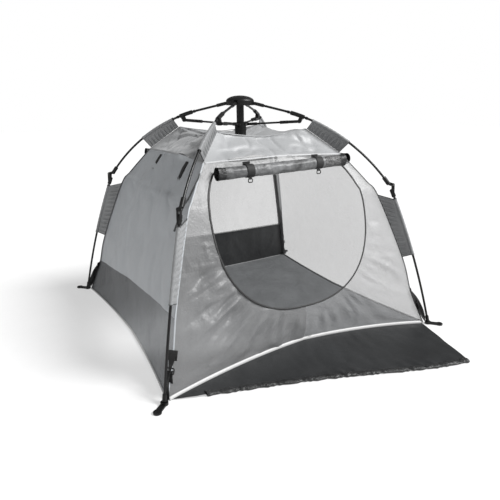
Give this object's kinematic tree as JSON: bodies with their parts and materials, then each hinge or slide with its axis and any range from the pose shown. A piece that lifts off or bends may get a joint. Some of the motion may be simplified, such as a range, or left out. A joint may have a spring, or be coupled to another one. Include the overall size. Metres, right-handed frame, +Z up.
{
  "type": "pop-up shelter",
  "caption": "Square pop-up shelter with an outside folding umbrella frame, mesh walls, a D-shaped doorway with rolled flaps and a charcoal apron.",
  "frame": {"origin": "on the ground under the hub, at the floor sheet's underside", "axes": "+Z up, -Y out of the doorway, +X to the right of someone looking in"},
  "size_m": [1.298, 1.574, 0.96],
  "materials": {
    "fitting": "moulded satin",
    "rod": "wound fibreglass, satin",
    "tube": "powder coat",
    "pins": "blackened",
    "grey_cloth": "coated polyester",
    "mesh_cloth": "fine mesh",
    "floor_cloth": "coated polyester",
    "charcoal_cloth": "lined polyester",
    "rolled_flap": "rolled polyester",
    "webbing": "woven webbing"
  },
  "bodies": {
    "hub": {"hub_cap": "fitting", "hub_body": "fitting", "centre_tube": "tube", "tube_stop": "fitting", "rib_pins": "pins"},
    "runner": {"runner": "fitting", "strut_pins": "pins"},
    "rib_front_left": {"rib_front_left": "rod", "bracket_front_left": "fitting", "knee_upper_front_left": "fitting", "canopy_front_left": "grey_cloth", "front_roll_left": "rolled_flap"},
    "strut_front_left": {"strut_front_left": "fitting"},
    "leg_front_left": {"knee_lower_front_left": "fitting", "leg_front_left": "rod", "foot_front_left": "fitting", "strap_front_left": "webbing", "wall_front_left": "mesh_cloth"},
    "floor_front_left": {"floor_front_left": "floor_cloth"},
    "rib_front_right": {"rib_front_right": "rod", "bracket_front_right": "fitting", "knee_upper_front_right": "fitting", "canopy_front_right": "grey_cloth", "front_roll_right": "rolled_flap", "right_roll_front": "rolled_flap"},
    "strut_front_right": {"strut_front_right": "fitting"},
    "leg_front_right": {"knee_lower_front_right": "fitting", "leg_front_right": "rod", "foot_front_right": "fitting", "strap_front_right": "webbing", "wall_front_right": "mesh_cloth"},
    "floor_front_right": {"floor_front_right": "floor_cloth"},
    "rib_back_right": {"rib_back_right": "rod", "bracket_back_right": "fitting", "knee_upper_back_right": "fitting", "canopy_back_right": "grey_cloth", "back_roll_right": "rolled_flap", "right_roll_back": "rolled_flap"},
    "strut_back_right": {"strut_back_right": "fitting"},
    "leg_back_right": {"knee_lower_back_right": "fitting", "leg_back_right": "rod", "foot_back_right": "fitting", "strap_back_right": "webbing", "wall_back_right": "mesh_cloth"},
    "floor_back_right": {"floor_back_right": "floor_cloth"},
    "rib_back_left": {"rib_back_left": "rod", "bracket_back_left": "fitting", "knee_upper_back_left": "fitting", "canopy_back_left": "grey_cloth", "back_roll_left": "rolled_flap"},
    "strut_back_left": {"strut_back_left": "fitting"},
    "leg_back_left": {"knee_lower_back_left": "fitting", "leg_back_left": "rod", "foot_back_left": "fitting", "strap_back_left": "webbing", "wall_back_left": "mesh_cloth"},
    "floor_back_left": {"floor_back_left": "floor_cloth"},
    "apron_left": {"apron_left": "charcoal_cloth"},
    "apron_right": {"apron_right": "charcoal_cloth"}
  },
  "joints": [
    {"name": "rib_fold_front_left", "type": "hinge", "parent": "hub", "child": "rib_front_left", "pos_m": [-0.03535, -0.03535, 0.931], "axis": [0.7071, -0.7071, 0], "range_deg": [0, 62], "deforming": ["canopy_front_left", "front_roll_left"]},
    {"name": "rib_fold_front_right", "type": "hinge", "parent": "hub", "child": "rib_front_right", "pos_m": [0.03535, -0.03535, 0.931], "axis": [0.7071, 0.7071, 0], "range_deg": [0, 62], "deforming": ["canopy_front_right", "front_roll_right", "right_roll_front"]},
    {"name": "rib_fold_back_right", "type": "hinge", "parent": "hub", "child": "rib_back_right", "pos_m": [0.03535, 0.03535, 0.931], "axis": [-0.7071, 0.7071, 0], "range_deg": [0, 62], "deforming": ["canopy_back_right", "back_roll_right", "right_roll_back"]},
    {"name": "rib_fold_back_left", "type": "hinge", "parent": "hub", "child": "rib_back_left", "pos_m": [-0.03535, 0.03535, 0.931], "axis": [-0.7071, -0.7071, 0], "range_deg": [0, 62], "deforming": ["canopy_back_left", "back_roll_left"]},
    {"name": "runner_slide", "type": "slide", "parent": "hub", "child": "runner", "axis": [0, 0, 1], "range_m": [0, 0.0927]},
    {"name": "strut_swing_front_left", "type": "hinge", "parent": "runner", "child": "strut_front_left", "pos_m": [-0.02121, -0.02121, 0.842], "axis": [0.7071, -0.7071, 0], "range_deg": [0, 80.34]},
    {"name": "leg_fold_front_left", "type": "hinge", "parent": "rib_front_left", "child": "leg_front_left", "pos_m": [-0.46626, -0.46626, 0.60489], "axis": [-0.7071, 0.7071, 0], "range_deg": [0, 201], "deforming": ["wall_front_left", "strap_front_left"]},
    {"name": "floor_fold_front_left", "type": "hinge", "parent": "leg_front_left", "child": "floor_front_left", "pos_m": [-0.59397, -0.59397, 0.004], "axis": [0.7071, -0.7071, 0], "range_deg": [0, 64], "deforming": ["floor_front_left"]},
    {"name": "strut_swing_front_right", "type": "hinge", "parent": "runner", "child": "strut_front_right", "pos_m": [0.02121, -0.02121, 0.842], "axis": [0.7071, 0.7071, 0], "range_deg": [0, 80.34]},
    {"name": "leg_fold_front_right", "type": "hinge", "parent": "rib_front_right", "child": "leg_front_right", "pos_m": [0.46626, -0.46626, 0.60489], "axis": [-0.7071, -0.7071, 0], "range_deg": [0, 201], "deforming": ["wall_front_right", "strap_front_right"]},
    {"name": "floor_fold_front_right", "type": "hinge", "parent": "leg_front_right", "child": "floor_front_right", "pos_m": [0.59397, -0.59397, 0.004], "axis": [0.7071, 0.7071, 0], "range_deg": [0, 64], "deforming": ["floor_front_right"]},
    {"name": "strut_swing_back_right", "type": "hinge", "parent": "runner", "child": "strut_back_right", "pos_m": [0.02121, 0.02121, 0.842], "axis": [-0.7071, 0.7071, 0], "range_deg": [0, 80.34]},
    {"name": "leg_fold_back_right", "type": "hinge", "parent": "rib_back_right", "child": "leg_back_right", "pos_m": [0.46626, 0.46626, 0.60489], "axis": [0.7071, -0.7071, 0], "range_deg": [0, 201], "deforming": ["wall_back_right", "strap_back_right"]},
    {"name": "floor_fold_back_right", "type": "hinge", "parent": "leg_back_right", "child": "floor_back_right", "pos_m": [0.59397, 0.59397, 0.004], "axis": [-0.7071, 0.7071, 0], "range_deg": [0, 64], "deforming": ["floor_back_right"]},
    {"name": "strut_swing_back_left", "type": "hinge", "parent": "runner", "child": "strut_back_left", "pos_m": [-0.02121, 0.02121, 0.842], "axis": [-0.7071, -0.7071, 0], "range_deg": [0, 80.34]},
    {"name": "leg_fold_back_left", "type": "hinge", "parent": "rib_back_left", "child": "leg_back_left", "pos_m": [-0.46626, 0.46626, 0.60489], "axis": [0.7071, 0.7071, 0], "range_deg": [0, 201], "deforming": ["wall_back_left", "strap_back_left"]},
    {"name": "floor_fold_back_left", "type": "hinge", "parent": "leg_back_left", "child": "floor_back_left", "pos_m": [-0.59397, 0.59397, 0.004], "axis": [-0.7071, -0.7071, 0], "range_deg": [0, 64], "deforming": ["floor_back_left"]},
    {"name": "apron_fold_left", "type": "hinge", "parent": "floor_front_left", "child": "apron_left", "pos_m": [-0.3, -0.56, 0.008], "axis": [-1, 0, 0], "range_deg": [0, 165], "deforming": ["apron_left"]},
    {"name": "apron_fold_right", "type": "hinge", "parent": "floor_front_right", "child": "apron_right", "pos_m": [0.3, -0.56, 0.008], "axis": [-1, 0, 0], "range_deg": [0, 165], "deforming": ["apron_right"]}
  ],
  "couplings": [
    {"joint": "rib_fold_front_right", "follows": "rib_fold_front_left", "ratio": 1},
    {"joint": "rib_fold_back_right", "follows": "rib_fold_front_left", "ratio": 1},
    {"joint": "rib_fold_back_left", "follows": "rib_fold_front_left", "ratio": 1},
    {"joint": "runner_slide", "follows": "rib_fold_front_left", "m_per_rad": 0.085666},
    {"joint": "strut_swing_front_left", "follows": "rib_fold_front_left", "ratio": 1.2958},
    {"joint": "leg_fold_front_left", "follows": "rib_fold_front_left", "ratio": 3.2419},
    {"joint": "floor_fold_front_left", "follows": "rib_fold_front_left", "ratio": 1.0323},
    {"joint": "strut_swing_front_right", "follows": "rib_fold_front_left", "ratio": 1.2958},
    {"joint": "leg_fold_front_right", "follows": "rib_fold_front_left", "ratio": 3.2419},
    {"joint": "floor_fold_front_right", "follows": "rib_fold_front_left", "ratio": 1.0323},
    {"joint": "strut_swing_back_right", "follows": "rib_fold_front_left", "ratio": 1.2958},
    {"joint": "leg_fold_back_right", "follows": "rib_fold_front_left", "ratio": 3.2419},
    {"joint": "floor_fold_back_right", "follows": "rib_fold_front_left", "ratio": 1.0323},
    {"joint": "strut_swing_back_left", "follows": "rib_fold_front_left", "ratio": 1.2958},
    {"joint": "leg_fold_back_left", "follows": "rib_fold_front_left", "ratio": 3.2419},
    {"joint": "floor_fold_back_left", "follows": "rib_fold_front_left", "ratio": 1.0323},
    {"joint": "apron_fold_left", "follows": "rib_fold_front_left", "ratio": 2.6613},
    {"joint": "apron_fold_right", "follows": "rib_fold_front_left", "ratio": 2.6613}
  ]
}
